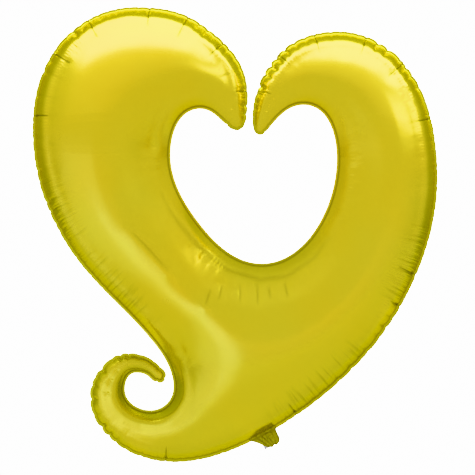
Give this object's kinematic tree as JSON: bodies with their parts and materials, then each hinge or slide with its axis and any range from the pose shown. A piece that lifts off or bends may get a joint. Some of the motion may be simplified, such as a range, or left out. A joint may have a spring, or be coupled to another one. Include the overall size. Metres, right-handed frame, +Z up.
{
  "type": "heart-shaped foil balloon",
  "caption": "Inflated foil balloon in the shape of an open heart with a curled tail: two welded film panels, and a folding filler tail with a self-closing film valve.",
  "frame": {"origin": "the neck: the point of the rim where the filler tail leaves it, halfway between the two panels", "axes": "+Z up with the heart upright, front towards -Y, curl at the lower left (-X) seen from the front"},
  "size_m": [0.73, 0.1842, 0.82],
  "materials": {
    "lemon_gold_foil": "metallised film tinted lemon gold, satin gloss",
    "clear_film": "clear polythene film"
  },
  "bodies": {
    "envelope": {"front_panel": "lemon_gold_foil", "back_panel": "lemon_gold_foil", "valve_front_ply": "clear_film", "valve_back_ply": "clear_film"},
    "tail": {"tail_front_ply": "lemon_gold_foil", "tail_back_ply": "lemon_gold_foil", "tail_valve_front_ply": "clear_film", "tail_valve_back_ply": "clear_film"}
  },
  "joints": [
    {"name": "tail_fold", "type": "hinge", "parent": "envelope", "child": "tail", "pos_m": [0, 0, 0], "axis": [0.8829, 0, 0.4695], "range_deg": [-90, 90]}
  ]
}
